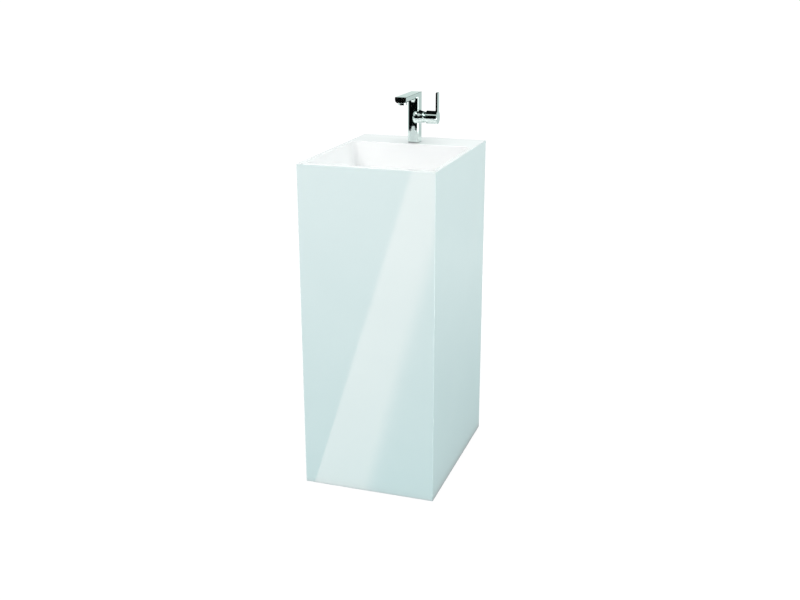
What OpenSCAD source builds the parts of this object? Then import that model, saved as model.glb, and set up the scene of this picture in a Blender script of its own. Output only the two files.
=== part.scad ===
// Free-standing pedestal sink: a square column of bonded solid-surface sheet with a
// deep rectangular bowl, a side-lever mixer tap on the rear ledge, a click-clack
// waste and a bottle trap inside the column.
// Frame: +Z up, +X to the right, front faces -Y, origin on the floor at the centre of the column.

/* [Column] */
// Width of the column, side to side
column_w = 350; // [330:1:400]
// Depth of the column, front to back
column_d = 473; // [460:1:520]
// Height of the rim above the floor
rim_h = 850; // [820:1:900]
// Thickness of the bonded sheets and of the cast side walls
sheet = 12; // [10:1:14]
// Rounding of the outer edges
edge_r = 1.5; // [1:0.5:3]
// Width of the service cut-out in the rear panel
service_w = 220; // [180:5:240]
// Height of the service cut-out in the rear panel
service_h = 420; // [300:10:420]
// Height of the bottom edge of the service cut-out
service_z = 250; // [200:10:260]

/* [Bowl] */
// Width of the front rim
front_rim = 18; // [14:1:25]
// Depth of the ledge behind the bowl
ledge_d = 122; // [118:1:130]
// Depth of the bowl from rim to the foot of its walls
bowl_depth = 125; // [110:1:130]
// Radius of the bowl's corners and of the fillet round its floor
bowl_r = 14; // [10:1:20]
// How far each bowl wall leans in from top to bottom
bowl_draft = 5; // [0:1:8]
// Fall of the bowl floor to the drain
bowl_fall = 6; // [4:1:8]
// Thickness of the ledge
ledge_t = 15; // [12:1:18]
// Radius of the tap hole in the ledge
tap_hole_r = 13.5; // [12:0.5:14]
// Distance of the tap behind the centre of the column
tap_y = 150; // [148:1:156]

/* [Tap] */
// Width of the tap's column
tap_w = 30; // [28:1:32]
// Depth of the tap's column
tap_d = 33; // [30:1:36]
// Height of the tap above the ledge
tap_h = 132; // [128:1:140]
// Reach of the spout in front of the tap's axis
spout_reach = 120; // [115:1:130]
// Thickness of the spout
spout_t = 15.5; // [15:0.5:18]
// Height of the side barrel's axis above the ledge
barrel_z = 68; // [64:1:72]
// Radius of the lever's hub
hub_r = 17.3; // [17.2:0.1:18]
// Where the hub ends, to the right of the tap's axis
hub_end = 66; // [62:0.5:68]
// Height of the lever's top above the ledge
lever_top = 134; // [125:1:145]
// Thickness of the lever
lever_t = 5; // [4:0.5:6]
// Width of the lever
lever_w = 16; // [14:1:18]

/* [Waste] */
// Distance of the drain in front of the centre of the column
drain_front = 52; // [45:1:60]
// Radius of the waste outlet pipe
pipe_r = 16; // [16:0.5:16]
// Height of the waste outlet above the floor
outlet_z = 600; // [595:1:605]

/* [Hidden] */
$fn = 64;
hw = column_w/2;
hd = column_d/2;
base_z = rim_h - bowl_depth - 16;      // underside of the basin, top of the panels
floor_z = rim_h - bowl_depth;          // foot of the bowl's walls
bowl_x = hw - sheet;                   // inner face of the side walls at the rim
bowl_y0 = -hd + front_rim;             // inner face of the front wall at the rim
bowl_y1 = hd - ledge_d;                // front edge of the ledge
bowl_cy = (bowl_y0 + bowl_y1)/2;
bowl_l = bowl_y1 - bowl_y0;
drain_y = -drain_front;
seat_z = floor_z - bowl_fall;          // bowl floor at the drain
rail = 20;                             // thickness of the battens
rail_h = 60;                           // height of the base frame
deck = rim_h;
axis_y = tap_y - 4;                    // the barrel's axis is a little ahead of the tap's
axis_z = deck + barrel_z;
px = 35;                               // pivot of the lever on the barrel's axis
cart_r = 11.5;                         // radius of the cartridge
cold = [-2.5, -7.5];                   // inlets in the tap's foot, from its axis
hot = [6.5, 1.5];
stud = [-5.5, 5.5];
inlet_r = 3.45;
mix_y = -spout_reach + 17.5;           // centre of the aerator
ch_z = tap_h - spout_t/2;              // height of the water channel in the spout

white = [0.88, 0.95, 0.95];
chrome = [0.78, 0.81, 0.81];
brass = [0.78, 0.64, 0.36];
rubber = [0.12, 0.12, 0.12];
ceramic = [0.92, 0.90, 0.86];
plastic = [0.86, 0.87, 0.88];
board = [0.62, 0.56, 0.46];
steel = [0.62, 0.63, 0.65];

// ---------- helpers ----------
function arc(cx, cy, r, a0, a1, n = 6) = [for (i = [0:n]) let(a = a0 + (a1 - a0)*i/n) [cx + r*cos(a), cy + r*sin(a)]];
function rrect(w, d, r, n = 6) = concat(
  arc(w/2 - r, -d/2 + r, r, -90, 0, n), arc(w/2 - r, d/2 - r, r, 0, 90, n),
  arc(-w/2 + r, d/2 - r, r, 90, 180, n), arc(-w/2 + r, -d/2 + r, r, 180, 270, n));
// an upright rectangle from z0 to z1 whose two top corners are rounded
function topround(w, z0, z1, r, n = 6) = concat(
  [[-w/2, z0], [w/2, z0]], arc(w/2 - r, z1 - r, r, 0, 90, n), arc(-w/2 + r, z1 - r, r, 90, 180, n));
// a ring between two radii, standing on z0
module ring(ro, ri, z0, z1) {
  translate([0, 0, z0]) difference() {
    cylinder(h = z1 - z0, r = ro);
    translate([0, 0, -1]) cylinder(h = z1 - z0 + 2, r = ri);
  }
}
// extrude an XZ outline along Y, or a YZ outline along X
module along_y(y0, y1) { translate([0, y1, 0]) rotate([90, 0, 0]) linear_extrude(y1 - y0) children(); }
module along_x(x0, x1) { translate([x0, 0, 0]) rotate([90, 0, 90]) linear_extrude(x1 - x0) children(); }
// turn a shape made round +Z so that it lies along the barrel's axis, +Z becoming +X
module on_barrel() { translate([0, axis_y, axis_z]) rotate([0, 90, 0]) children(); }
module at_drain() { translate([0, drain_y, 0]) children(); }
module at_tap() { translate([0, tap_y, deck]) children(); }
// a thin slice of the bowl's outline, grown by g
module bowl_slice(z, g, h = 0.01) {
  translate([0, bowl_cy, z]) linear_extrude(h) polygon(rrect(2*bowl_x + 2*g, bowl_l + 2*g, bowl_r + g, 8));
}

// ---------- column ----------
module bowl_cavity() {
  bx = bowl_x - bowl_r; by = bowl_l/2 - bowl_r;
  hull() {
    bowl_slice(rim_h - 2, 0, 4);
    for (sx = [-1, 1], sy = [-1, 1])
      translate([sx*(bx - bowl_draft), bowl_cy + sy*(by - bowl_draft), floor_z + bowl_r]) sphere(r = bowl_r, $fn = 32);
    translate([0, drain_y, seat_z]) cylinder(h = 1, r = 34, $fn = 32);
  }
  // the rim's inner edge, rolled over in four steps
  er = 2;
  for (i = [0:3]) hull() {
    a = 90*i/4; b = 90*(i + 1)/4;
    bowl_slice(rim_h - er + er*sin(a), er*(1 - cos(a)));
    bowl_slice(rim_h - er + er*sin(b) + (i == 3 ? 0.5 : 0), er*(1 - cos(b)));
  }
}

module basin() {
  color(white) difference() {
    intersection() {
      translate([0, 0, base_z]) linear_extrude(rim_h - base_z) polygon(rrect(column_w, column_d, edge_r));
      along_y(-hd, hd) polygon(topround(column_w, base_z, rim_h, edge_r));
      along_x(-hw, hw) polygon(topround(column_d, base_z, rim_h, edge_r));
    }
    bowl_cavity();
    // hollow under the ledge, where the tap is fastened
    translate([-hw + sheet + 2*rail - 5, bowl_y1 + 14, base_z - 1])
      cube([column_w - 2*sheet - 4*rail + 10, ledge_d - 14 - sheet, rim_h - ledge_t - base_z + 1]);
    // tap hole, drain hole and the recess of the waste flange
    translate([0, tap_y, rim_h - ledge_t - 1]) cylinder(h = ledge_t + 2, r = tap_hole_r);
    at_drain() translate([0, 0, base_z - 1]) cylinder(h = 30, r = 22.5);
    at_drain() translate([0, 0, seat_z - 4.5]) cylinder(h = 10, r = 32);
  }
}

module front_panel() {
  color(white) translate([-hw + sheet, -hd, 0]) cube([column_w - 2*sheet, sheet, base_z]);
}

// a side panel runs the whole depth, so the front and rear panels butt against it
module side_panel() {
  linear_extrude(base_z) polygon(concat(
    [[hw - sheet, hd], [hw - sheet, -hd]], arc(hw - edge_r, -hd + edge_r, edge_r, -90, 0), arc(hw - edge_r, hd - edge_r, edge_r, 0, 90)));
}
module right_panel() { color(white) side_panel(); }
module left_panel() { color(white) mirror([1, 0, 0]) side_panel(); }

module rear_panel() {
  color(white) difference() {
    translate([-hw + sheet, hd - sheet, 0]) cube([column_w - 2*sheet, sheet, base_z]);
    along_y(hd - sheet - 1, hd + 1) translate([0, service_z + service_h/2]) polygon(rrect(service_w, service_h, 12));
  }
}

// four upright glue battens in the corners, standing on the base frame
module corner_battens() {
  color(board) for (sx = [-1, 1], sy = [-1, 1])
    translate([sx > 0 ? hw - sheet - rail : -hw + sheet, sy > 0 ? hd - sheet - rail : -hd + sheet, rail_h]) cube([rail, rail, base_z - rail_h]);
}

module base_frame() {
  color(board) difference() {
    translate([-hw + sheet, -hd + sheet, 0]) cube([column_w - 2*sheet, column_d - 2*sheet, rail_h]);
    translate([-hw + sheet + rail, -hd + sheet + rail, -1]) cube([column_w - 2*sheet - 2*rail, column_d - 2*sheet - 2*rail, rail_h + 2]);
    // pilot holes of the bracket screws
    for (s = [0, 1], y = [-br_y, br_y], d = [-11, 11]) mirror([s, 0, 0])
      translate([br_x - 1, y + d, 34]) rotate([0, 90, 0]) cylinder(h = 17.2, r = 2.2, $fn = 32);
  }
}

br_y = 120;        // floor brackets, in front of and behind the centre
br_x = hw - sheet - rail;   // face of the base frame that they stand against
// one steel angle with a floor hole and two screw holes
module angle_bracket() {
  difference() {
    along_y(-20, 20) polygon([[0, 0], [0, 50], [-3, 50], [-3, 3], [-42, 3], [-42, 0]]);
    translate([-24, 0, -1]) cylinder(h = 6, r = 4.5);
    for (y = [-11, 11]) translate([-5, y, 34]) rotate([0, 90, 0]) cylinder(h = 8, r = 2.4);
  }
}
module floor_brackets() {
  color(steel) for (s = [0, 1], y = [-br_y, br_y]) mirror([s, 0, 0]) translate([br_x, y, 0]) angle_bracket();
}
module bracket_screws() {
  color(steel) for (s = [0, 1], y = [-br_y, br_y], d = [-11, 11]) mirror([s, 0, 0])
    translate([br_x - 3, y + d, 34]) rotate([0, -90, 0]) rotate_extrude($fn = 32)
      polygon(concat([[0, -19], [2.2, -16], [2.2, 0], [4.4, 0]], arc(0, -2.2, 4.92, 26.6, 90, 5)));
}

// ---------- tap ----------
// side outline of the tap: foot, back, flat top, spout and the fillet under it
module tap_side() {
  y0 = -tap_d/2; y1 = tap_d/2; f = 12; u = tap_h - spout_t; t = -spout_reach; r = 1.4;
  polygon(concat([[y0, 1], [y1, 1]],
    arc(y1 - r, tap_h - r, r, 0, 90), arc(t + r, tap_h - r, r, 90, 180), arc(t + r, u + r, r, 180, 270),
    arc(y0 - f, u - f, f, 90, 0)));
}
// front outline of the spout: flat top, sides that roll under
module spout_front() {
  w = tap_w/2; u = tap_h - spout_t; b = 9; r = 1.2;
  polygon(concat(arc(w - r, tap_h - r, r, 0, 90), arc(-w + r, tap_h - r, r, 90, 180),
    arc(-w + b, u + b, b, 180, 270, 10), arc(w - b, u + b, b, 270, 360, 10)));
}
// the side barrel, made round +Z: a bulged root in the tap's column, a flare and a plain neck
module barrel_shape() {
  rotate_extrude($fn = 96) polygon(concat([[0, -4]],
    [for (i = [1:10]) let(a = 90*i/10) [20*sin(a), 8 - 12*cos(a)]],
    [for (i = [1:12]) let(t = i/12) [20 - 4.7*(t*t*(3 - 2*t)), 8 + 18*t]],
    [[15.3, 28.2], [13.9, 28.6], [13.9, px], [0, px]]));
}
module tap_body() {
  color(chrome) difference() {
    union() {
      at_tap() intersection() {
        along_x(-tap_w/2, tap_w/2) tap_side();
        along_y(-spout_reach - 1, tap_d/2 + 1) polygon(topround(tap_w, 0, tap_h, 1.2));
        union() {
          translate([0, 0, 1]) linear_extrude(tap_h) polygon(rrect(tap_w, tap_d, 4.5, 9));
          along_y(-spout_reach, -2) spout_front();
          // foot of the spout: a fillet that narrows to a point down the column's face
          along_y(-tap_d/2 - 12, 0) polygon([[-1, tap_h - spout_t - 12], [1, tap_h - spout_t - 12], [13, tap_h - spout_t + 5], [-13, tap_h - spout_t + 5]]);
        }
      }
      on_barrel() barrel_shape();
    }
    // cartridge bore, threaded at its mouth
    on_barrel() translate([0, 0, 12]) cylinder(h = 30, r = cart_r);
    at_tap() {
      // inlets: threaded at the foot, then risers to the cartridge's ports
      for (p = [cold, hot]) translate([p[0], p[1], 0]) {
        cylinder(h = 13, r = inlet_r);
        cylinder(h = barrel_z - 5, r = 2.8);
      }
      translate([stud[0], stud[1], 0]) cylinder(h = 13, r = 3);
      for (p = [cold, hot]) translate([p[0], p[1], barrel_z - 5]) rotate([0, 90, 0]) cylinder(h = 13 - p[0], r = 2.6);
      // mixed water: up the column, along the spout and down to the aerator
      translate([0, -4, barrel_z + 6.5]) rotate([0, 90, 0]) cylinder(h = 13, r = 3);
      translate([0, -4, barrel_z + 6.5]) cylinder(h = ch_z - barrel_z - 6.5, r = 3);
      translate([0, -4, ch_z]) rotate([90, 0, 0]) cylinder(h = -mix_y - 4, r = 3.6);
      translate([0, mix_y, tap_h - spout_t - 2]) cylinder(h = 9, r = 9);
    }
  }
}
module tap_gasket() {
  color(rubber) at_tap() difference() {
    linear_extrude(1) polygon(rrect(tap_w - 1.2, tap_d - 1.2, 3.9, 9));
    translate([0, 0, -1]) cylinder(h = 3, r = tap_hole_r);
  }
}
module tap_stud() { color(brass) at_tap() translate([stud[0], stud[1], -50]) cylinder(h = 63, r = 3); }
// a horseshoe under the ledge, open towards the two hoses
module horseshoe(r, z0, z1) {
  at_tap() difference() {
    translate([0, 0, z0]) cylinder(h = z1 - z0, r = r);
    translate([stud[0], stud[1], z0 - 1]) cylinder(h = z1 - z0 + 2, r = 3.15);
    rotate([0, 0, -45]) translate([-2.3, -11.2, z0 - 1]) cube([40, 22.4, z1 - z0 + 2]);
  }
}
module rubber_washer() { color(rubber) horseshoe(21, -ledge_t - 3, -ledge_t); }
module clamp_washer() { color(steel) horseshoe(20, -ledge_t - 5, -ledge_t - 3); }
module fixing_nut() {
  color(brass) at_tap() translate([stud[0], stud[1], -ledge_t - 20]) difference() {
    cylinder(h = 15, r = 5.7, $fn = 6);
    translate([0, 0, -1]) cylinder(h = 17, r = 3);
  }
}
module at_aerator() { at_tap() translate([0, mix_y, tap_h - spout_t]) children(); }
module aerator_housing() {
  color(chrome) at_aerator() rotate_extrude() polygon([[7.4, -6], [10.2, -6], [10.8, -5.4], [10.8, 0], [9, 0], [9, 4], [7.4, 4]]);
}
module aerator_insert() {
  color(plastic) at_aerator() difference() {
    translate([0, 0, -5.2]) cylinder(h = 9.2, r = 7.4);
    for (a = [0:60:300]) rotate([0, 0, a]) translate([4.4, 0, -6]) cylinder(h = 11, r = 1.3, $fn = 16);
    translate([0, 0, -6]) cylinder(h = 11, r = 1.3, $fn = 16);
  }
}
module aerator_washer() { color(rubber) at_aerator() ring(9, 5.5, 4, 5.5); }

// ---------- cartridge, all made round +Z on the barrel's axis ----------
// a disc with the three water ports cut through it
module port_holes(z0, z1, r) {
  for (p = [[5, cold[1] + 4], [5, hot[1] + 4], [-6.5, 0]]) translate([p[0], p[1], z0 - 1]) cylinder(h = z1 - z0 + 2, r = r, $fn = 24);
}
module cartridge_body() {
  color(plastic) on_barrel() difference() {
    translate([0, 0, 13]) cylinder(h = 15.5, r = cart_r);
    translate([0, 0, 18]) cylinder(h = 20, r = 10.2);
    port_holes(12, 19, 2.3);
  }
}
module cartridge_seal() {
  color(rubber) on_barrel() difference() { translate([0, 0, 12]) cylinder(h = 1, r = cart_r); port_holes(12, 13, 2.3); }
}
module fixed_disc() {
  color(ceramic) on_barrel() difference() { translate([0, 0, 18]) cylinder(h = 2.5, r = 10.2); port_holes(18, 20.5, 2.1); }
}
// the moving disc has a blind pocket that joins the ports
module moving_disc() {
  color(ceramic) on_barrel() difference() {
    translate([0, 0, 20.5]) cylinder(h = 2.2, r = 6);
    translate([0, 0, 20.4]) cylinder(h = 1.1, r = 4.2);
  }
}
module disc_driver() {
  color(plastic) on_barrel() difference() {
    translate([0, 0, 22.7]) cylinder(h = 3.3, r = 6);
    translate([0, 0, 23.4]) cylinder(h = 3, r = 2.2);
  }
}
slot_w = 6.6;
// the carrier turns with the lever: a flange in the cartridge and a neck with a slot for the stem
module carrier() {
  color(plastic) on_barrel() difference() {
    union() {
      translate([0, 0, 26.3]) cylinder(h = 3, r = 10.1);
      translate([0, 0, 26.3]) cylinder(h = 12.7, r = 8.2);
    }
    translate([-6.3, -slot_w/2, 24]) cube([12.6, slot_w, 20]);
    translate([0, 9, px]) rotate([90, 0, 0]) cylinder(h = 18, r = 1.3);
  }
}
module pivot_pin() { color(steel) on_barrel() translate([0, 7.6, px]) rotate([90, 0, 0]) cylinder(h = 15.2, r = 1.25); }
module stem() {
  color(steel) on_barrel() difference() {
    union() {
      translate([0, 0, px - 9.4]) cylinder(h = 9.4, r = 1.5);
      translate([0, 0, px - 9.4]) sphere(r = 2);
      translate([0, 0, px - 3]) cylinder(h = 22.5, r = 3);
    }
    translate([0, 6, px]) rotate([90, 0, 0]) cylinder(h = 12, r = 1.3);
  }
}
// ring nut that holds the cartridge, with a dome that closes the gap when the hub tilts
module dome_nut() {
  color(chrome) on_barrel() difference() {
    union() {
      translate([0, 0, 29.5]) cylinder(h = px - 29.5, r = cart_r);
      translate([0, 0, px]) intersection() { sphere(r = 13.6, $fn = 96); translate([0, 0, 0]) cylinder(h = 10, r = 20); }
    }
    translate([0, 0, 29]) cylinder(h = 30, r = 8.3);
    translate([0, 0, px + 0.01]) intersection() { sphere(r = 12.2, $fn = 96); cylinder(h = 20, r = 20); }
  }
}
// ---------- lever ----------
hub_in = 15.2;    // inner radius of the hub
module handle() {
  color(chrome) difference() {
    union() {
      on_barrel() rotate_extrude($fn = 96) polygon(concat([[0, px], [hub_r - 0.4, px], [hub_r, px + 0.4]],
        arc(hub_r - 1, hub_end - 1, 1, 0, 90, 4), [[0, hub_end]]));
      // upright blade, flush with the hub's end
      translate([0, axis_y, 0]) intersection() {
        along_y(-lever_w/2, lever_w/2) translate([hub_end - lever_t, axis_z]) polygon(concat(
          [[0, 0], [lever_t, 0]], arc(lever_t - 1.5, lever_top - barrel_z - 1.5, 1.5, 0, 90, 4), arc(1.5, lever_top - barrel_z - 1.5, 1.5, 90, 180, 4)));
        along_x(0, hub_end + 1) polygon(topround(lever_w, axis_z - 2, deck + lever_top, 4));
      }
    }
    // hollow of the hub and the socket of the stem
    on_barrel() translate([0, 0, px - 1]) cylinder(h = 16.5, r = hub_in);
    on_barrel() translate([0, 0, px]) cylinder(h = 19.5, r = 3);
    // grub screw hole, from below
    translate([px + 18, axis_y, axis_z - hub_r - 1]) cylinder(h = hub_r - 1, r = 2);
  }
}
module grub_screw() {
  color(steel) translate([px + 18, axis_y, axis_z - 12]) difference() {
    cylinder(h = 9, r = 2);
    translate([0, 0, -1]) cylinder(h = 3.5, r = 1.1, $fn = 6);
  }
}
module screw_cover() { color(plastic) translate([px + 18, axis_y, axis_z - hub_r + 0.2]) cylinder(h = 1.8, r = 2); }

// ---------- waste and plug ----------
module waste_flange() {
  color(chrome) at_drain() difference() {
    union() {
      rotate_extrude($fn = 96) polygon([[0, seat_z - 3], [31.6, seat_z - 3], [31.6, seat_z - 1], [30.6, seat_z], [0, seat_z]]);
      translate([0, 0, 660]) cylinder(h = seat_z - 3 - 660, r = 20.9);
    }
    difference() {
      translate([0, 0, 659]) cylinder(h = 80, r = 17.5);
      // spider that holds the click mechanism
      for (a = [0, 120, 240]) rotate([0, 0, a]) translate([0, -1.25, 688]) cube([19, 2.5, 8]);
      translate([0, 0, 688]) cylinder(h = 8, r = 10);
    }
    translate([0, 0, 687]) cylinder(h = 10, r = 8);
  }
}
module flange_seal() { color(rubber) at_drain() ring(31, 22, seat_z - 4.5, seat_z - 3); }
module lower_seal() { color(rubber) at_drain() rotate_extrude() polygon([[20.9, base_z - 6], [32, base_z - 6], [33, base_z - 2], [33, base_z], [20.9, base_z]]); }
module waste_backnut() {
  color(brass) at_drain() difference() {
    union() {
      translate([0, 0, base_z - 10]) cylinder(h = 4, r = 31);
      translate([0, 0, base_z - 16]) cylinder(h = 6, r = 28, $fn = 6);
    }
    translate([0, 0, base_z - 17]) cylinder(h = 20, r = 20.9);
  }
}
module plug_cap() {
  color(chrome) at_drain() difference() {
    rotate_extrude($fn = 96) polygon(concat([[0, seat_z + 1.5], [29.4, seat_z + 1.5], [30, seat_z + 2.1], [30, seat_z + 3]],
      [for (i = [1:10]) let(t = i/10) [30*cos(90*t), seat_z + 3 + 3.5*sin(90*t)]]));
    translate([0, 0, seat_z]) cylinder(h = 4, r = 2.5);
  }
}
module plug_seal() { color(rubber) at_drain() ring(27.5, 22, seat_z, seat_z + 1.5); }
module plug_stem() {
  color(plastic) at_drain() union() {
    translate([0, 0, 690]) cylinder(h = seat_z + 1.5 - 690, r = 4);
    translate([0, 0, seat_z]) cylinder(h = 4, r = 2.5);
  }
}
module click_body() {
  color(plastic) at_drain() difference() {
    translate([0, 0, 674]) union() { cylinder(h = 30, r = 8); translate([0, 0, 8]) cylinder(h = 6, r = 9.5); }
    translate([0, 0, 676]) cylinder(h = 40, r = 4.05);
  }
}
// return spring under the plug's stem
sp_turns = 6; sp_r = 2.9; sp_w = 0.35; sp_n = 12; sp_z0 = 676.4; sp_z1 = 689.6;
function spt(i) = let(a = 360*i/sp_n) [sp_r*cos(a), sp_r*sin(a), sp_z0 + (sp_z1 - sp_z0)*i/(sp_n*sp_turns)];
module click_spring() {
  N = sp_turns*sp_n; m = 8;
  pts = [for (i = [0:N]) let(p = spt(i), a = 360*i/sp_n) for (j = [0:m - 1]) let(b = 360*j/m)
    [p[0] + sp_w*cos(b)*cos(a), p[1] + sp_w*cos(b)*sin(a), p[2] + sp_w*sin(b)]];
  side = [for (i = [0:N - 1], j = [0:m - 1]) let(k = (j + 1)%m) [i*m + j, i*m + k, (i + 1)*m + k, (i + 1)*m + j]];
  color(steel) at_drain() polyhedron(points = pts, convexity = 10,
    faces = concat([[for (j = [m - 1:-1:0]) j]], [for (f = side) [f[0], f[1], f[2]]], [for (f = side) [f[0], f[2], f[3]]], [[for (j = [0:m - 1]) N*m + j]]));
}

// ---------- bottle trap ----------
module grip_ribs(r, z0, z1, n = 16) {
  for (i = [0:n - 1]) rotate([0, 0, 360*i/n]) translate([r - 0.6, -1.5, z0]) cube([1.8, 3, z1 - z0]);
}
module trap_inlet_nut() {
  color(chrome) at_drain() difference() {
    union() { translate([0, 0, 651]) cylinder(h = 24, r = 25); grip_ribs(25, 653, 672); }
    translate([0, 0, 650]) cylinder(h = 30, r = 16.2);
    translate([0, 0, 655]) cylinder(h = 30, r = 20.9);
  }
}
module trap_inlet_washer() { color(rubber) at_drain() ring(20.6, 15, 658, 660); }
module dip_tube() {
  color(chrome) at_drain() difference() {
    union() { translate([0, 0, 525]) cylinder(h = 133, r = pipe_r); translate([0, 0, 655]) cylinder(h = 3, r = 20.4); }
    translate([0, 0, 520]) cylinder(h = 150, r = pipe_r - 1.5);
  }
}
module trap_top_nut() {
  color(chrome) at_drain() difference() {
    union() { translate([0, 0, 630]) cylinder(h = 17, r = 24.5); grip_ribs(24.5, 632, 645); }
    translate([0, 0, 620]) cylinder(h = 30, r = 16.2);
    translate([0, 0, 620]) cylinder(h = 22, r = 20);
  }
}
module trap_top_washer() { color(rubber) at_drain() rotate_extrude() polygon([[16, 637], [20, 637], [20, 640], [18.5, 642], [16, 642]]); }
module trap_body() {
  color(chrome) at_drain() difference() {
    union() {
      rotate_extrude() polygon(concat([[0, 560], [31, 560]], arc(25, outlet_z + 17, 6, 0, 90), [[20, outlet_z + 23], [20, 637], [0, 637]]));
      translate([0, 0, outlet_z]) rotate([-90, 0, 0]) cylinder(h = 58, r = 19);
    }
    translate([0, 0, 559]) cylinder(h = outlet_z + 19 - 559, r = 28);
    translate([0, 0, 600]) cylinder(h = 50, r = 16.2);
    translate([0, 0, outlet_z]) rotate([-90, 0, 0]) cylinder(h = 70, r = 14.5);
  }
}
module cup_seal() { color(rubber) at_drain() ring(31, 28, 558.5, 560); }
module trap_cup() {
  color(chrome) at_drain() difference() {
    union() {
      rotate_extrude() polygon(concat([[0, 498]], arc(25, 504, 6, -90, 0), [[31, 558.5], [28, 558.5], [28, 567], [0, 567]]));
      grip_ribs(31, 540, 555, 20);
    }
    rotate_extrude() polygon(concat([[0, 501]], arc(21, 506, 5, -90, 0), [[26, 570], [0, 570]]));
  }
}
module at_outlet() { translate([0, drain_y, outlet_z]) rotate([-90, 0, 0]) children(); }
module outlet_nut() {
  color(chrome) at_outlet() difference() {
    union() { translate([0, 0, 50]) cylinder(h = 18, r = 23.5); grip_ribs(23.5, 52, 66); }
    translate([0, 0, 40]) cylinder(h = 40, r = 16.2);
    translate([0, 0, 40]) cylinder(h = 24, r = 19);
  }
}
module outlet_washer() { color(rubber) at_outlet() rotate_extrude() polygon([[15.5, 58], [19, 58], [19, 62], [17.8, 64], [15.5, 64]]); }
// its inner end is turned down where the washer grips it
module outlet_pipe() {
  color(chrome) at_outlet() difference() {
    union() {
      translate([0, 0, 61]) cylinder(h = 20, r = pipe_r - 0.5);
      translate([0, 0, 68.4]) cylinder(h = hd - drain_y - 0.5 - 68.4, r = pipe_r);
    }
    translate([0, 0, 60]) cylinder(h = 300, r = pipe_r - 1.5);
  }
}

basin();
front_panel();
left_panel();
right_panel();
rear_panel();
corner_battens();
base_frame();
floor_brackets();
bracket_screws();
tap_body();
tap_gasket();
tap_stud();
rubber_washer();
clamp_washer();
fixing_nut();
aerator_housing();
aerator_insert();
aerator_washer();
cartridge_body();
cartridge_seal();
fixed_disc();
moving_disc();
disc_driver();
carrier();
pivot_pin();
stem();
dome_nut();
handle();
grub_screw();
screw_cover();
waste_flange();
flange_seal();
lower_seal();
waste_backnut();
plug_cap();
plug_seal();
plug_stem();
click_body();
click_spring();
trap_inlet_nut();
trap_inlet_washer();
dip_tube();
trap_top_nut();
trap_top_washer();
trap_body();
cup_seal();
trap_cup();
outlet_nut();
outlet_washer();
outlet_pipe();
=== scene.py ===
import math

import bpy
from mathutils import Matrix, Vector


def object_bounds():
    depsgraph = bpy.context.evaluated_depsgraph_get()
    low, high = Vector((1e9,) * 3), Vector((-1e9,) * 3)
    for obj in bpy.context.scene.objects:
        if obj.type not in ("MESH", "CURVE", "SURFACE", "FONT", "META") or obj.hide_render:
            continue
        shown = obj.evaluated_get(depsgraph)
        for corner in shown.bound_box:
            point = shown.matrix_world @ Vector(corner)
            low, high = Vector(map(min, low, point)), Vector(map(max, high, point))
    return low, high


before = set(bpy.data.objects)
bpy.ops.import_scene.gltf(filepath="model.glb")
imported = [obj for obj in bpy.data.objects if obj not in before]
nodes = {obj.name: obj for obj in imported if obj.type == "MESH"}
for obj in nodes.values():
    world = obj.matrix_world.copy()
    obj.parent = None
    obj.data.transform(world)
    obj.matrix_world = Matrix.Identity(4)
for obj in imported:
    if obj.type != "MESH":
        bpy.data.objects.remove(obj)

cad_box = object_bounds()
scene = bpy.context.scene
scene.view_settings.view_transform = "Standard"
scene.view_settings.look = "None"
scene.view_settings.exposure = 0.0
scene.view_settings.gamma = 1.0

# ------------------------------------------------------------------ camera
AZ, EL, ROLL = math.radians(18.5919), math.radians(18.1807), -0.001296
CAM_POS = Vector((0.84663, -2.49255, 1.31394))
FOCAL_PX = 1035.7

back = Vector((math.sin(AZ) * math.cos(EL), -math.cos(AZ) * math.cos(EL), math.sin(EL)))
right = Vector((math.cos(AZ), math.sin(AZ), 0.0))
up = back.cross(right)
r2 = right * math.cos(ROLL) + up * math.sin(ROLL)
u2 = -right * math.sin(ROLL) + up * math.cos(ROLL)
cam_data = bpy.data.cameras.new("studio_camera")
cam_data.sensor_fit = "HORIZONTAL"
cam_data.sensor_width = 36.0
cam_data.lens = FOCAL_PX / 800.0 * 36.0
cam_data.clip_start = 0.05
cam_data.clip_end = 60.0
cam = bpy.data.objects.new("studio_camera", cam_data)
scene.collection.objects.link(cam)
m = Matrix.Identity(4)
for i in range(3):
    m[i][0], m[i][1], m[i][2], m[i][3] = r2[i], u2[i], back[i], CAM_POS[i]
cam.matrix_world = m
scene.camera = cam


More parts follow.
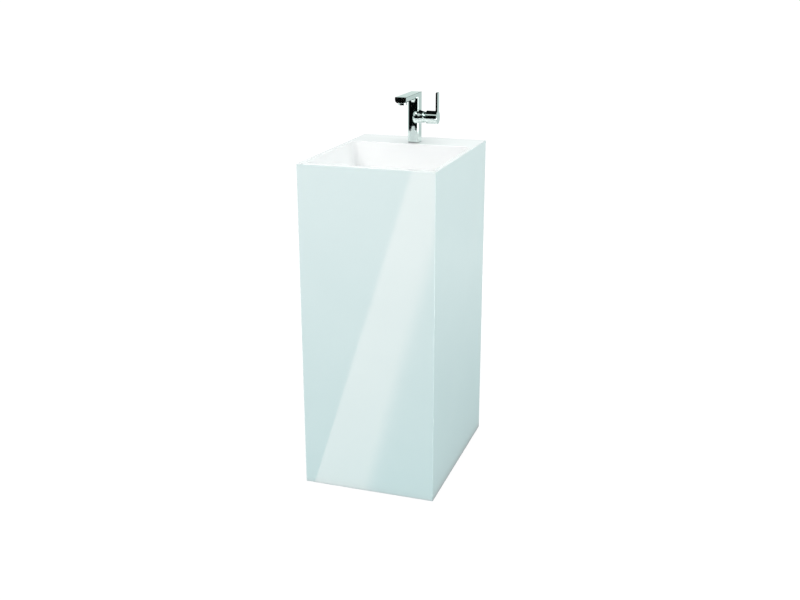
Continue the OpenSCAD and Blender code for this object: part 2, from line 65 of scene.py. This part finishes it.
# ------------------------------------------------------------------ node helpers
class Graph:
    """A material's nodes, with short calls."""

    def __init__(self, name):
        self.mat = bpy.data.materials.new(name)
        self.mat.use_nodes = True
        self.t = self.mat.node_tree
        self.t.nodes.clear()
        self.out = self.t.nodes.new("ShaderNodeOutputMaterial")
        self.coord = self.t.nodes.new("ShaderNodeTexCoord")

    def put(self, socket, value):
        if isinstance(value, bpy.types.NodeSocket):
            self.t.links.new(value, socket)
        elif value is not None:
            socket.default_value = value

    def mapping(self, scale=(1, 1, 1), rot=(0, 0, 0), loc=(0, 0, 0)):
        n = self.t.nodes.new("ShaderNodeMapping")
        self.put(n.inputs["Vector"], self.coord.outputs["Object"])
        n.inputs["Scale"].default_value = scale
        n.inputs["Rotation"].default_value = rot
        n.inputs["Location"].default_value = loc
        return n.outputs["Vector"]

    def noise(self, scale, detail=2.0, rough=0.5, vec=None, distortion=0.0):
        n = self.t.nodes.new("ShaderNodeTexNoise")
        self.put(n.inputs["Vector"], vec or self.coord.outputs["Object"])
        n.inputs["Scale"].default_value = scale
        n.inputs["Detail"].default_value = detail
        n.inputs["Roughness"].default_value = rough
        n.inputs["Distortion"].default_value = distortion
        return n.outputs["Fac"]

    def voronoi(self, scale, vec=None, feature="F1"):
        n = self.t.nodes.new("ShaderNodeTexVoronoi")
        n.feature = feature
        self.put(n.inputs["Vector"], vec or self.coord.outputs["Object"])
        n.inputs["Scale"].default_value = scale
        return n.outputs["Distance"]

    def wave(self, scale, vec=None, distortion=0.0, detail=2.0, detail_scale=1.0, direction="X", kind="BANDS"):
        n = self.t.nodes.new("ShaderNodeTexWave")
        n.wave_type = kind
        if kind == "BANDS":
            n.bands_direction = direction
        else:
            n.rings_direction = direction
        self.put(n.inputs["Vector"], vec or self.coord.outputs["Object"])
        n.inputs["Scale"].default_value = scale
        n.inputs["Distortion"].default_value = distortion
        n.inputs["Detail"].default_value = detail
        n.inputs["Detail Scale"].default_value = detail_scale
        return n.outputs["Fac"]

    def ramp(self, fac, stops):
        n = self.t.nodes.new("ShaderNodeValToRGB")
        self.put(n.inputs["Fac"], fac)
        el = n.color_ramp.elements
        while len(el) < len(stops):
            el.new(0.5)
        for e, (p, c) in zip(el, stops):
            e.position = p
            e.color = (c, c, c, 1) if isinstance(c, (int, float)) else (*c, 1)
        return n.outputs["Color"]

    def remap(self, fac, a, b, c, d):
        n = self.t.nodes.new("ShaderNodeMapRange")
        self.put(n.inputs["Value"], fac)
        for k, v in zip(("From Min", "From Max", "To Min", "To Max"), (a, b, c, d)):
            n.inputs[k].default_value = v
        return n.outputs["Result"]

    def math(self, op, a, b=None):
        n = self.t.nodes.new("ShaderNodeMath")
        n.operation = op
        self.put(n.inputs[0], a)
        if b is not None:
            self.put(n.inputs[1], b)
        return n.outputs[0]

    def mix(self, fac, a, b, blend="MIX"):
        n = self.t.nodes.new("ShaderNodeMix")
        n.data_type = "RGBA"
        n.blend_type = blend
        self.put(n.inputs[0], fac)
        for s, v in ((n.inputs[6], a), (n.inputs[7], b)):
            if isinstance(v, bpy.types.NodeSocket):
                self.t.links.new(v, s)
            else:
                s.default_value = (*v, 1)
        return n.outputs[2]

    def bump(self, height, distance, strength=1.0, normal=None):
        n = self.t.nodes.new("ShaderNodeBump")
        self.put(n.inputs["Height"], height)
        n.inputs["Distance"].default_value = distance
        n.inputs["Strength"].default_value = strength
        if normal is not None:
            self.put(n.inputs["Normal"], normal)
        return n.outputs["Normal"]

    def principled(self, **values):
        n = self.t.nodes.new("ShaderNodeBsdfPrincipled")
        for key, value in values.items():
            s = n.inputs[key.replace("_", " ")]
            if isinstance(value, tuple) and len(value) == 3:
                value = (*value, 1.0)
            self.put(s, value)
        self.t.links.new(n.outputs["BSDF"], self.out.inputs["Surface"])
        return n


# ------------------------------------------------------------------ materials
def gloss_white():
    """Polished gel coat: a deep even gloss, a very slight orange peel and clouding, hair-fine polishing marks."""
    g = Graph("gloss_white")
    cloud = g.noise(5.0, 3.0, 0.55)
    speck = g.noise(900.0, 2.0, 0.6)
    tone = g.ramp(cloud, [(0.30, (0.880, 0.896, 0.896)), (0.70, (0.902, 0.912, 0.911))])
    tone = g.mix(g.remap(speck, 0.55, 0.8, 0.0, 0.12), tone, (0.866, 0.884, 0.884))
    polish = g.noise(60.0, 4.0, 0.6, vec=g.mapping(scale=(1.0, 1.0, 6.0)))
    rough = g.remap(polish, 0.25, 0.75, 0.022, 0.044)
    peel = g.noise(110.0, 2.0, 0.5)
    normal = g.bump(peel, 5e-6)
    g.principled(Base_Color=tone, Roughness=rough, Normal=normal, IOR=1.50)
    return g.mat


def chrome_plate():
    """Bright chrome over cast and turned brass: near-mirror, with faint casting waviness, wiping marks and water spots."""
    g = Graph("chrome_plate")
    haze = g.noise(45.0, 4.0, 0.6)
    wipe = g.noise(300.0, 3.0, 0.6, vec=g.mapping(scale=(1.0, 0.25, 1.0), rot=(0.3, 0.2, 0.5)))
    spots = g.voronoi(170.0)
    tone = g.ramp(haze, [(0.3, (0.790, 0.890, 0.860)), (0.7, (0.860, 0.950, 0.920))])
    rough = g.math("ADD", g.remap(haze, 0.3, 0.75, 0.030, 0.062), g.remap(wipe, 0.45, 0.8, 0.0, 0.05))
    rough = g.math("ADD", rough, g.remap(spots, 0.0, 0.09, 0.05, 0.0))
    wave = g.noise(70.0, 1.0, 0.5)
    normal = g.bump(wave, 2.5e-5)
    g.principled(Base_Color=tone, Metallic=1.0, Roughness=rough, Normal=normal)
    return g.mat


def sealed_board():
    """Moisture-resistant board under a thin grey-green sealer: short fibres, saw marks, darker flecks."""
    g = Graph("sealed_board")
    fibre = g.noise(90.0, 5.0, 0.65, vec=g.mapping(scale=(1.0, 1.0, 9.0)))
    fleck = g.voronoi(260.0, vec=g.mapping(scale=(1.0, 1.0, 0.3)))
    tone = g.ramp(fibre, [(0.30, (0.24, 0.25, 0.19)), (0.55, (0.36, 0.36, 0.28)), (0.75, (0.47, 0.46, 0.37))])
    tone = g.mix(g.remap(fleck, 0.0, 0.22, 0.65, 0.0), tone, (0.15, 0.13, 0.09))
    rough = g.remap(fibre, 0.2, 0.8, 0.42, 0.7)
    saw = g.wave(180.0, distortion=2.0, direction="Z")
    height = g.math("ADD", g.math("MULTIPLY", fibre, 0.8), g.math("MULTIPLY", saw, 0.2))
    g.principled(Base_Color=tone, Roughness=rough, Normal=g.bump(height, 2.5e-4), IOR=1.45)
    return g.mat


def plated_steel():
    """Bright zinc plate on pressed steel: fine drawn lines and the soft spangle of the plating."""
    g = Graph("plated_steel")
    draw = g.noise(700.0, 3.0, 0.6, vec=g.mapping(scale=(0.08, 1.0, 1.0)))
    spangle = g.voronoi(230.0)
    tone = g.ramp(spangle, [(0.0, (0.52, 0.54, 0.55)), (0.6, (0.66, 0.68, 0.69))])
    tone = g.mix(g.remap(draw, 0.4, 0.8, 0.0, 0.3), tone, (0.42, 0.43, 0.44))
    rough = g.remap(draw, 0.25, 0.75, 0.24, 0.42)
    g.principled(Base_Color=tone, Metallic=1.0, Roughness=rough, Normal=g.bump(draw, 4e-5))
    return g.mat


def bare_brass():
    """Turned brass, left as machined: fine tool rings, with a little brown tarnish."""
    g = Graph("bare_brass")
    rings = g.wave(900.0, distortion=0.6, direction="Z")
    tarnish = g.noise(70.0, 5.0, 0.65)
    tone = g.ramp(tarnish, [(0.35, (0.68, 0.50, 0.24)), (0.60, (0.76, 0.60, 0.32)), (0.80, (0.50, 0.36, 0.18))])
    rough = g.math("ADD", g.remap(tarnish, 0.3, 0.8, 0.20, 0.42), g.math("MULTIPLY", rings, 0.05))
    g.principled(Base_Color=tone, Metallic=1.0, Roughness=rough, Normal=g.bump(rings, 3e-5))
    return g.mat


def black_rubber():
    """Moulded rubber: matt, a fine grain and a grey bloom in the hollows."""
    g = Graph("black_rubber")
    grain = g.noise(1400.0, 3.0, 0.6)
    bloom = g.noise(120.0, 4.0, 0.6)
    tone = g.ramp(bloom, [(0.35, (0.016, 0.016, 0.017)), (0.75, (0.050, 0.050, 0.052))])
    rough = g.remap(grain, 0.2, 0.8, 0.55, 0.82)
    g.principled(Base_Color=tone, Roughness=rough, Normal=g.bump(grain, 6e-5), IOR=1.50)
    return g.mat


def grey_plastic():
    """Moulded acetal: satin, a fine spark-eroded texture and faint flow clouds."""
    g = Graph("grey_plastic")
    texture = g.noise(1100.0, 3.0, 0.6)
    flow = g.noise(55.0, 3.0, 0.5, vec=g.mapping(scale=(1.0, 1.0, 0.35)), distortion=0.6)
    tone = g.ramp(flow, [(0.3, (0.40, 0.41, 0.42)), (0.7, (0.49, 0.50, 0.51))])
    rough = g.remap(texture, 0.2, 0.8, 0.32, 0.52)
    g.principled(Base_Color=tone, Roughness=rough, Normal=g.bump(texture, 3e-5), IOR=1.48)
    return g.mat


def valve_ceramic():
    """Lapped alumina: white, very smooth, with a fine speckle."""
    g = Graph("valve_ceramic")
    speck = g.noise(2200.0, 2.0, 0.6)
    tone = g.ramp(speck, [(0.35, (0.78, 0.77, 0.73)), (0.65, (0.86, 0.85, 0.82))])
    rough = g.remap(speck, 0.2, 0.8, 0.12, 0.26)
    g.principled(Base_Color=tone, Roughness=rough, Normal=g.bump(speck, 5e-6), IOR=1.76)
    return g.mat


FINISH = {
    gloss_white: ["basin", "front_panel", "left_panel", "right_panel", "rear_panel"],
    chrome_plate: [
        "tap_body", "aerator_housing", "dome_nut", "handle", "waste_flange", "plug_cap",
        "trap_inlet_nut", "dip_tube", "trap_top_nut", "trap_body", "trap_cup", "outlet_nut", "outlet_pipe",
    ],
    sealed_board: ["base_frame", "corner_battens"],
    bare_brass: ["tap_stud", "fixing_nut", "waste_backnut"],
    black_rubber: [
        "tap_gasket", "rubber_washer", "aerator_washer", "cartridge_seal", "flange_seal", "lower_seal",
        "plug_seal", "trap_inlet_washer", "trap_top_washer", "cup_seal", "outlet_washer",
    ],
    grey_plastic: [
        "aerator_insert", "cartridge_body", "disc_driver", "carrier", "screw_cover", "plug_stem", "click_body",
    ],
    valve_ceramic: ["fixed_disc", "moving_disc"],
    plated_steel: [
        "floor_brackets", "bracket_screws", "clamp_washer", "pivot_pin", "stem", "grub_screw", "click_spring",
    ],
}
dressed = set()
for make, names in FINISH.items():
    mat = make()
    for n in names:
        o = nodes[n]
        o.data.materials.clear()
        o.data.materials.append(mat)
        dressed.add(n)
bare = sorted(set(nodes) - dressed)
if bare:
    raise RuntimeError(f"no material for {bare}")


# ------------------------------------------------------------------ studio
class Shade(Graph):
    """A stage material made of plain emission."""

    def emit(self, color, strength=1.0):
        e = self.t.nodes.new("ShaderNodeEmission")
        if isinstance(color, bpy.types.NodeSocket):
            self.t.links.new(color, e.inputs["Color"])
        else:
            e.inputs["Color"].default_value = (*color, 1)
        self.put(e.inputs["Strength"], strength)
        return e.outputs[0]

    def to_camera(self, seen, otherwise):
        lp = self.t.nodes.new("ShaderNodeLightPath")
        mx = self.t.nodes.new("ShaderNodeMixShader")
        self.t.links.new(lp.outputs["Is Camera Ray"], mx.inputs[0])
        self.t.links.new(otherwise, mx.inputs[1])
        self.t.links.new(seen, mx.inputs[2])
        return mx.outputs[0]

    def one_sided(self, shader):
        """Clear from behind, as a sheet of one-way film."""
        geo = self.t.nodes.new("ShaderNodeNewGeometry")
        clear = self.t.nodes.new("ShaderNodeBsdfTransparent")
        mx = self.t.nodes.new("ShaderNodeMixShader")
        self.t.links.new(geo.outputs["Backfacing"], mx.inputs[0])
        self.t.links.new(shader, mx.inputs[1])
        self.t.links.new(clear.outputs[0], mx.inputs[2])
        return mx.outputs[0]

    def end(self, shader):
        self.t.links.new(shader, self.out.inputs["Surface"])
        return self.mat


def plane(name, corners, mat, camera=False, diffuse=False, glossy=True, shadow=False, fade=None):
    """A flat stage piece through these corners. fade is not used."""
    me = bpy.data.meshes.new(name)
    me.from_pydata([tuple(c) for c in corners], [], [tuple(range(len(corners)))])
    me.update()
    o = bpy.data.objects.new(name, me)
    scene.collection.objects.link(o)
    me.materials.append(mat)
    o.visible_camera = camera
    o.visible_diffuse = diffuse
    o.visible_glossy = glossy
    o.visible_shadow = shadow
    return o


def area(name, pos, target, size, watts, color=(1, 1, 1), glossy=False, spread=180.0):
    d = bpy.data.lights.new(name, "AREA")
    d.shape = "RECTANGLE"
    d.size, d.size_y = size
    d.energy = watts
    d.color = color
    d.spread = math.radians(spread)
    o = bpy.data.objects.new(name, d)
    scene.collection.objects.link(o)
    o.location = pos
    o.rotation_euler = (Vector(target) - Vector(pos)).to_track_quat("-Z", "Y").to_euler()
    o.visible_camera = False
    o.visible_glossy = glossy
    return o


def faded_sheet(name, line, across_level, heights, up_level, radiance):
    """An upright glossy-only sheet over this line on the floor, its light fading towards its edges."""
    me = bpy.data.meshes.new(name)
    nx = len(line)
    me.from_pydata([(x, y, z) for z in heights for x, y in line], [],
                   [(i * nx + j, i * nx + j + 1, (i + 1) * nx + j + 1, (i + 1) * nx + j) for i in range(len(heights) - 1) for j in range(nx - 1)])
    level = me.attributes.new("fade", "FLOAT", "POINT")
    level.data.foreach_set("value", [min(a, b) for b in up_level for a in across_level])
    me.update()
    o = bpy.data.objects.new(name, me)
    scene.collection.objects.link(o)
    g = Shade(name)
    at = g.t.nodes.new("ShaderNodeAttribute")
    at.attribute_name = "fade"
    clear = g.t.nodes.new("ShaderNodeBsdfTransparent")
    mx = g.t.nodes.new("ShaderNodeMixShader")
    g.t.links.new(at.outputs["Fac"], mx.inputs[0])
    g.t.links.new(clear.outputs[0], mx.inputs[1])
    g.t.links.new(g.emit(radiance), mx.inputs[2])
    me.materials.append(g.end(mx.outputs[0]))
    o.visible_camera = o.visible_diffuse = o.visible_shadow = False
    o.visible_transmission = o.visible_volume_scatter = False
    return o


# floor: a wide pale disc, a little greyer close to the column: a real shadow on its matt part where the lamps reach it
# less, and painted shade in its glow
g = Shade("studio_floor")
dist = g.t.nodes.new("ShaderNodeVectorMath")
dist.operation = "LENGTH"
g.t.links.new(g.coord.outputs["Object"], dist.inputs[0])
far = g.remap(dist.outputs["Value"], 0.3, 3.5, 0.0, 1.0)
# distance from the column's foot, for the painted shade line where it meets the floor
foot_x, foot_y = cad_box[1][0], cad_box[1][1]
sep = g.t.nodes.new("ShaderNodeSeparateXYZ")
g.t.links.new(g.coord.outputs["Object"], sep.inputs[0])
gap_x = g.math("SUBTRACT", g.math("ABSOLUTE", sep.outputs["X"]), foot_x)
gap_y = g.math("SUBTRACT", g.math("ABSOLUTE", sep.outputs["Y"]), foot_y)
gap = g.math("MAXIMUM", gap_x, gap_y)
# the foot's painted shade is deep at the sides and the back and thin at the front, which the key lamp reaches
at_side = g.math("MAXIMUM", g.math("GREATER_THAN", gap_x, gap_y), g.math("GREATER_THAN", sep.outputs["Y"], foot_y))
side_shade = g.math("MULTIPLY", g.remap(gap, 0.0, 0.022, 0.0, 1.0), g.remap(gap, 0.0, 0.28, 0.68, 1.0))
front_shade = g.remap(gap, 0.0, 0.012, 0.30, 1.0)
painted_contact_shade = g.math("ADD", g.math("MULTIPLY", at_side, side_shade), g.math("MULTIPLY", g.math("SUBTRACT", 1.0, at_side), front_shade))
# the floor's glow for diffuse rays, dimmed by the painted shade at the column's foot
low = g.emit(g.mix(far, (0.155, 0.505, 0.515), (0.185, 0.42, 0.418)), painted_contact_shade)
g.t.nodes["Mix"].name = "floor_tone"
# the floor's glow as gloss sees it, with painted shade: darker close to the column and near-black at its foot
gloss_floor_with_painted_shade = g.emit(g.mix(g.remap(dist.outputs["Value"], 0.5, 2.2, 0.0, 1.0), (0.26, 0.33, 0.33), (0.52, 0.59, 0.58)), g.remap(gap, 0.0, 0.012, 0.02, 1.0))
g.t.nodes["Mix"].name = "floor_gloss"
lp = g.t.nodes.new("ShaderNodeLightPath")
mx = g.t.nodes.new("ShaderNodeMixShader")
g.t.links.new(lp.outputs["Is Glossy Ray"], mx.inputs[0])
g.t.links.new(low, mx.inputs[1])
g.t.links.new(gloss_floor_with_painted_shade, mx.inputs[2])
low = mx.outputs[0]
open_floor = g.remap(dist.outputs["Value"], 0.6, 3.0, 0.91, 1.02)
seen = g.t.nodes.new("ShaderNodeAddShader")
matt = g.t.nodes.new("ShaderNodeBsdfDiffuse")
matt.inputs["Color"].default_value = (0.12, 0.12, 0.12, 1)
g.t.links.new(g.to_camera(g.emit((1, 1, 1), open_floor), low), seen.inputs[0])
g.t.links.new(matt.outputs[0], seen.inputs[1])
FLOOR_R = 9.0
plane(
    "studio_floor",
    [(FLOOR_R * math.cos(a), FLOOR_R * math.sin(a), 0.0) for a in [2 * math.pi * i / 96 for i in range(96)]],
    g.end(seen.outputs[0]), camera=True, diffuse=True, shadow=True,
)

# world: white to the camera, and to everything else a room with a pale band above the horizon and a dark ceiling
world = bpy.data.worlds.new("studio")
scene.world = world
world.use_nodes = True
wt = world.node_tree
wt.nodes.clear()


def w_node(kind, **sockets):
    n = wt.nodes.new(kind)
    for k, v in sockets.items():
        n.inputs[k].default_value = v
    return n


def w_ramp(fac, stops):
    n = wt.nodes.new("ShaderNodeValToRGB")
    wt.links.new(fac, n.inputs["Fac"])
    el = n.color_ramp.elements
    while len(el) < len(stops):
        el.new(0.5)
    for e, (p, c) in zip(el, stops):
        e.position = p
        e.color = (*c, 1)
    return n.outputs[0]


w_out = wt.nodes.new("ShaderNodeOutputWorld")
w_co = wt.nodes.new("ShaderNodeTexCoord")
w_sep = wt.nodes.new("ShaderNodeSeparateXYZ")
wt.links.new(w_co.outputs["Generated"], w_sep.inputs[0])
soft_room = w_ramp(w_sep.outputs["Z"], [
    (0.00, (0.444, 0.476, 0.500)),
    (0.30, (0.592, 0.635, 0.667)),
    (1.00, (0.266, 0.286, 0.300)),
])
soft_room.node.name = "soft_room"
# what gloss sees: behind the column
rear_room = w_ramp(w_sep.outputs["Z"], [
    (0.00, (0.66, 0.76, 0.735)),
    (0.20, (0.66, 0.76, 0.735)),
    (0.27, (0.003, 0.004, 0.004)),
    (1.00, (0.003, 0.004, 0.004)),
])
rear_room.node.name = "rear_room"
# and in front of it
front_room = w_ramp(w_sep.outputs["Z"], [
    (0.00, (0.002, 0.003, 0.003)),
    (0.59, (0.002, 0.003, 0.003)),
    (0.64, (0.75, 0.82, 0.80)),
    (0.78, (0.75, 0.82, 0.80)),
    (0.84, (0.003, 0.004, 0.004)),
])
front_room.node.name = "front_room"
w_side = wt.nodes.new("ShaderNodeMapRange")
wt.links.new(w_sep.outputs["Y"], w_side.inputs["Value"])
w_side.inputs["From Min"].default_value = -0.15
w_side.inputs["From Max"].default_value = 0.15
w_mixc = wt.nodes.new("ShaderNodeMix")
w_mixc.data_type = "RGBA"
wt.links.new(w_side.outputs[0], w_mixc.inputs[0])
wt.links.new(front_room, w_mixc.inputs[6])
wt.links.new(rear_room, w_mixc.inputs[7])


def w_range(value, a, b, c, d):
    n = wt.nodes.new("ShaderNodeMapRange")
    wt.links.new(value, n.inputs["Value"])
    for k, v in zip(("From Min", "From Max", "To Min", "To Max"), (a, b, c, d)):
        n.inputs[k].default_value = v
    return n.outputs["Result"]


def w_math(op, a, b):
    n = wt.nodes.new("ShaderNodeMath")
    n.operation = op
    n.use_clamp = True
    wt.links.new(a, n.inputs[0])
    wt.links.new(b, n.inputs[1])
    return n.outputs[0]


# the dark part of the room is a sector to the rear left of straight ahead; on both sides of it the upper room is pale
w_x, w_z = w_sep.outputs["X"], w_sep.outputs["Z"]
beside = w_math("ADD", w_range(w_x, -0.52, -0.42, 1.0, 0.0), w_range(w_x, 0.30, 0.42, 0.0, 1.0))
pale = w_math("MULTIPLY", beside, w_range(w_z, 0.06, 0.22, 0.0, 1.0))
w_pale = wt.nodes.new("ShaderNodeMix")
w_pale.data_type = "RGBA"
wt.links.new(pale, w_pale.inputs[0])
wt.links.new(w_mixc.outputs[2], w_pale.inputs[6])
w_pale.inputs[7].default_value = (0.60, 0.66, 0.65, 1)
w_lp = wt.nodes.new("ShaderNodeLightPath")
bg_soft = w_node("ShaderNodeBackground", Strength=1.0)
bg_gloss = w_node("ShaderNodeBackground", Strength=1.0)
bg_cam = w_node("ShaderNodeBackground", Color=(1, 1, 1, 1), Strength=1.05)
wt.links.new(soft_room, bg_soft.inputs["Color"])
wt.links.new(w_pale.outputs[2], bg_gloss.inputs["Color"])
mx1 = wt.nodes.new("ShaderNodeMixShader")
wt.links.new(w_lp.outputs["Is Glossy Ray"], mx1.inputs[0])
wt.links.new(bg_soft.outputs[0], mx1.inputs[1])
wt.links.new(bg_gloss.outputs[0], mx1.inputs[2])
mx2 = wt.nodes.new("ShaderNodeMixShader")
wt.links.new(w_lp.outputs["Is Camera Ray"], mx2.inputs[0])
wt.links.new(mx1.outputs[0], mx2.inputs[1])
wt.links.new(bg_cam.outputs[0], mx2.inputs[2])
wt.links.new(mx2.outputs[0], w_out.inputs["Surface"])

# soft lamps
area("overhead", (0.0, -0.1, 3.1), (0, 0, 0.8), (2.0, 2.0), 32.0, color=(1.0, 0.966, 0.971))
area("key", (-0.7, -2.6, 2.3), (0, 0, 0.7), (1.6, 1.4), 39.0, color=(1.0, 0.943, 0.898))
area("side", (2.6, 0.15, 1.9), (0, 0, 0.75), (1.4, 1.4), 28.6, color=(0.986, 1.0, 0.959))
# low fills behind and to the left, under the rim's height: they light only the faces turned away from the camera
area("fill_rear", (-0.3, 2.3, 0.50), (0, 0, 0.42), (1.6, 0.6), 17.0, color=(1.0, 0.90, 0.88))
area("fill_left", (-2.3, 0.0, 0.50), (0, 0, 0.42), (1.6, 0.6), 17.0, color=(1.0, 0.90, 0.88))

# cards that only gloss sees
g = Shade("dark_flag")
dark = g.end(g.emit((0.001, 0.002, 0.002)))
plane("dark_flag", [(-3.5, -3.6, 0.26), (3.0, -3.6, 0.26), (3.0, -3.6, 2.2), (-3.5, -3.6, 2.2)], dark)
# a soft-edged card to the right, kept below the tap's height so that its flat side still shows from the right
faded_sheet("white_side", [(2.2, -1.3), (2.2, -1.1), (2.2, 0.5), (2.2, 0.7)], (0.0, 1.0, 1.0, 0.0),
            (0.02, 0.40, 0.60, 0.92), (0.0, 1.0, 1.0, 0.0), (2.2, 2.2, 2.2))

# a lit card and floor to the right in front, which only the rounded vertical edges mirror in the main view
g = Shade("edge_light")
edge_light = g.end(g.emit((1, 1, 1), 5.5))
g = Shade("edge_light_low")
edge_light_low = g.end(g.emit((1, 1, 1), 10.0))
plane("edge_light", [(2.3, -1.32, 0.0), (1.15, -2.45, 0.0), (1.15, -2.45, 0.55), (2.3, -1.32, 0.55)], edge_light)
plane("edge_light_floor", [(0.24, -0.285, 0.0012), (0.52, -0.72, 0.0012), (1.15, -2.45, 0.0012), (2.3, -1.32, 0.0012), (0.9, -0.45, 0.0012)], edge_light_low)

# a dark flag in front of the tap, open below so that its foot mirrors the bowl
g = Shade("tap_flag")
plane("tap_flag", [
    (-0.13, -0.03, 0.975), (0.12, -0.03, 0.975), (0.12, -0.03, 0.862), (-0.041, -0.03, 0.862), (-0.042, -0.03, 0.856),
    (-0.046, -0.03, 0.856), (-0.0475, -0.03, 0.868), (-0.0555, -0.03, 0.868), (-0.058, -0.03, 0.8545), (-0.13, -0.03, 0.8545),
], g.end(g.one_sided(g.emit((0.0005, 0.001, 0.001)))))

# a lit strip on the floor in front, sharp along its left edge and fading to the right: the long gleam on the front panel
ALONG = (-5.60, -4.60, -3.80, -3.10, -2.50, -2.00, -1.60, -1.28, -1.00, -0.76, -0.56, -0.40, -0.30, -0.2385)  # y


def across(y):
    """x of the left edge, of the start, middle and end of the fall on the right, and of where it is gone."""
    left, start, half, low_end = -0.089 + 0.2585 * y, 0.0356 + 0.2333 * y, 0.0521 + 0.2255 * y, 0.0721 + 0.2188 * y
    return left, start, half, low_end, 2 * low_end - half


LEVEL = (1.0, 0.96, 0.50, 0.06, 0.0)
n = len(LEVEL)
verts = [(x, y, 0.001) for y in ALONG for x in across(y)]
faces = [(i * n + j, i * n + j + 1, (i + 1) * n + j + 1, (i + 1) * n + j) for i in range(len(ALONG) - 1) for j in range(n - 1)]
me = bpy.data.meshes.new("gleam")
me.from_pydata(verts, [], faces)
fade = me.attributes.new("fade", "FLOAT", "POINT")
fade.data.foreach_set("value", [v for _ in ALONG for v in LEVEL])
me.update()
gleam = bpy.data.objects.new("gleam", me)
scene.collection.objects.link(gleam)
g = Shade("gleam")
at = g.t.nodes.new("ShaderNodeAttribute")
at.attribute_name = "fade"
clear = g.t.nodes.new("ShaderNodeBsdfTransparent")
mx = g.t.nodes.new("ShaderNodeMixShader")
g.t.links.new(at.outputs["Fac"], mx.inputs[0])
g.t.links.new(clear.outputs[0], mx.inputs[1])
g.t.links.new(g.emit((3.4, 2.5, 2.3)), mx.inputs[2])
me.materials.append(g.end(mx.outputs[0]))
gleam.visible_camera = gleam.visible_diffuse = gleam.visible_shadow = False
gleam.visible_transmission = gleam.visible_volume_scatter = False
